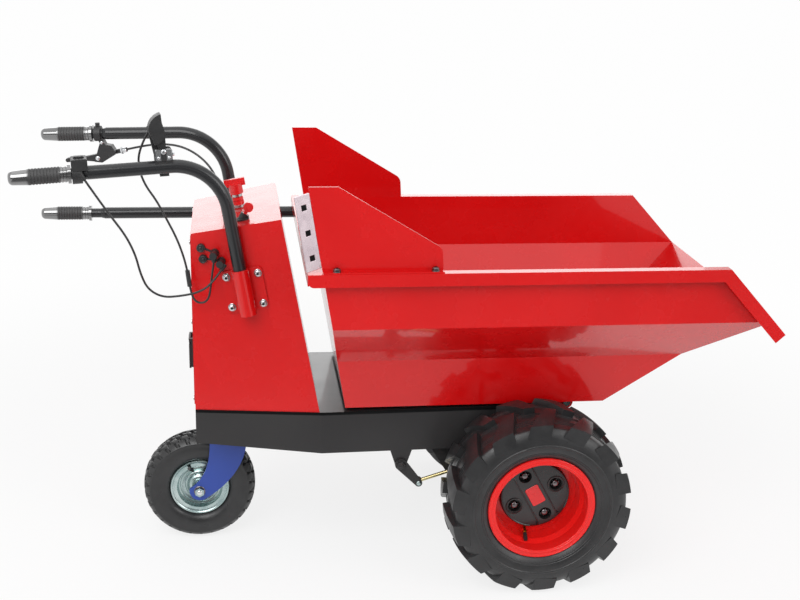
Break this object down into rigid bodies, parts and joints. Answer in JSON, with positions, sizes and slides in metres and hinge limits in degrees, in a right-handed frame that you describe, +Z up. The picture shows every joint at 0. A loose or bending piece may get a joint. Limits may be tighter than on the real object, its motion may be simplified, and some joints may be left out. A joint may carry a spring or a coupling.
{
  "type": "electric mini dumper",
  "caption": "Pedestrian electric mini dumper: red tipping hopper hinged on a black chassis with drive wheels, a swivel caster, a battery box and handlebars with controls.",
  "frame": {"origin": "floor point under the middle of the bounding box", "axes": "+X to the dumping end, +Y to the operator's left, +Z up"},
  "size_m": [1.5639, 0.69, 1.0002],
  "materials": {
    "red_paint": "gloss",
    "black_paint": "semi-gloss",
    "blue_paint": "gloss",
    "tyre": "matte",
    "zinc": "zinc plated",
    "chrome": "polished",
    "grip_rubber": "satin",
    "black_plastic": "satin",
    "red_plastic": "gloss",
    "aluminium": "cast"
  },
  "bodies": {
    "chassis": {"chassis_frame": "black_paint", "deck_plate": "black_paint", "rest_pads": "grip_rubber", "hinge_pins": "zinc", "transaxle_housing": "black_paint", "drive_motor": "black_paint", "batteries": "black_plastic", "motor_controller": "aluminium", "box_casing": "red_paint", "rear_cover": "red_paint", "charge_inlet": "black_plastic", "handlebar_sockets": "red_paint", "fasteners": "zinc", "handlebar_left": "black_paint", "handlebar_right": "black_paint", "grip_left": "grip_rubber", "grip_right": "grip_rubber", "throttle_clamp": "chrome", "brake_bracket": "black_paint", "direction_switch_housing": "black_plastic", "isolator_base": "zinc", "key_switch_barrel": "black_plastic", "panel_sockets": "black_plastic", "cable_plugs": "black_plastic", "dust_caps": "black_plastic", "direction_cable": "black_plastic", "throttle_cable": "black_plastic", "brake_cable": "black_plastic", "cable_sleeve": "black_plastic", "caster_plate": "black_paint"},
    "hopper": {"hopper_shell": "red_paint", "wing_left": "red_paint", "wing_right": "red_paint", "wing_bolts": "zinc", "rear_bracket": "red_paint", "tip_handle": "black_paint", "tip_grip": "grip_rubber"},
    "caster_swivel": {"caster_fork": "blue_paint", "caster_axle": "zinc"},
    "caster_wheel": {"caster_rim": "zinc", "caster_tyre": "tyre"},
    "wheel_left": {"drive_tyre_left": "tyre", "drive_rim_left": "red_paint", "hub_cover_left": "black_plastic", "lug_bolts_left": "zinc", "axle_shaft_left": "zinc"},
    "wheel_right": {"drive_tyre_right": "tyre", "drive_rim_right": "red_paint", "hub_cover_right": "black_plastic", "lug_bolts_right": "zinc", "axle_shaft_right": "zinc"},
    "brake_lever": {"brake_lever": "black_plastic"},
    "brake_crank": {"brake_crank": "black_paint"},
    "brake_rod": {"brake_rod": "zinc"},
    "brake_arm": {"brake_arm": "zinc"},
    "throttle_lever": {"throttle_lever": "black_plastic"},
    "direction_rocker": {"direction_rocker": "black_plastic"},
    "isolator_key": {"isolator_key": "red_plastic"},
    "ignition_key": {"ignition_key": "red_plastic"},
    "charge_cap": {"charge_cap": "black_plastic"}
  },
  "joints": [
    {"name": "hopper_tip", "type": "hinge", "parent": "chassis", "child": "hopper", "pos_m": [0.394, 0, 0.346], "axis": [0, 1, 0], "range_deg": [0, 60]},
    {"name": "wheel_left_spin", "type": "hinge", "parent": "chassis", "child": "wheel_left", "pos_m": [0.294, 0.265, 0.2], "axis": [0, 1, 0], "continuous": true},
    {"name": "wheel_right_spin", "type": "hinge", "parent": "chassis", "child": "wheel_right", "pos_m": [0.294, -0.265, 0.2], "axis": [0, 1, 0], "continuous": true},
    {"name": "caster_turn", "type": "hinge", "parent": "chassis", "child": "caster_swivel", "pos_m": [-0.354, 0, 0.2803], "axis": [0, 0, 1], "continuous": true},
    {"name": "caster_roll", "type": "hinge", "parent": "caster_swivel", "child": "caster_wheel", "pos_m": [-0.42, 0, 0.125], "axis": [0, 1, 0], "continuous": true},
    {"name": "brake_squeeze", "type": "hinge", "parent": "chassis", "child": "brake_lever", "pos_m": [-0.63111, 0.20749, 0.83403], "axis": [0.1524, 0.9883, 0], "range_deg": [0, 22], "stiffness_Nm_per_rad": 2, "springref_deg": -20.05},
    {"name": "brake_crank_turn", "type": "hinge", "parent": "chassis", "child": "brake_crank", "pos_m": [0.0155, -0.184, 0.24], "axis": [0, 1, 0], "range_deg": [0, 14]},
    {"name": "brake_rod_turn", "type": "hinge", "parent": "brake_crank", "child": "brake_rod", "pos_m": [0.0555, -0.171, 0.194], "axis": [0, 1, 0], "range_deg": [-15, 0]},
    {"name": "brake_arm_turn", "type": "hinge", "parent": "chassis", "child": "brake_arm", "pos_m": [0.232, -0.1845, 0.206], "axis": [0, 1, 0], "range_deg": [-20, 0]},
    {"name": "throttle_press", "type": "hinge", "parent": "chassis", "child": "throttle_lever", "pos_m": [-0.46894, -0.18249, 0.9273], "axis": [-0.1524, 0.9883, 0], "range_deg": [0, 35], "stiffness_Nm_per_rad": 0.5, "springref_deg": -11.46},
    {"name": "direction_rock", "type": "hinge", "parent": "chassis", "child": "direction_rocker", "pos_m": [-0.6263, -0.20675, 0.91733], "axis": [-0.1524, 0.9883, 0], "range_deg": [-12, 12]},
    {"name": "isolator_turn", "type": "hinge", "parent": "chassis", "child": "isolator_key", "pos_m": [-0.32174, 0, 0.76865], "axis": [-0.1846, 0, 0.9828], "range_deg": [0, 90]},
    {"name": "ignition_turn", "type": "hinge", "parent": "chassis", "child": "ignition_key", "pos_m": [-0.31781, -0.108, 0.76938], "axis": [0.4596, 0, 0.8881], "range_deg": [0, 60]},
    {"name": "charge_cap_flip", "type": "hinge", "parent": "chassis", "child": "charge_cap", "pos_m": [-0.4313, -0.06, 0.499], "axis": [0, 1, 0], "range_deg": [0, 110], "stiffness_Nm_per_rad": 0.02, "springref_deg": -17.19}
  ],
  "couplings": [
    {"joint": "brake_crank_turn", "follows": "brake_squeeze", "ratio": 0.6},
    {"joint": "brake_rod_turn", "follows": "brake_squeeze", "ratio": -0.65},
    {"joint": "brake_arm_turn", "follows": "brake_squeeze", "ratio": -0.845}
  ]
}
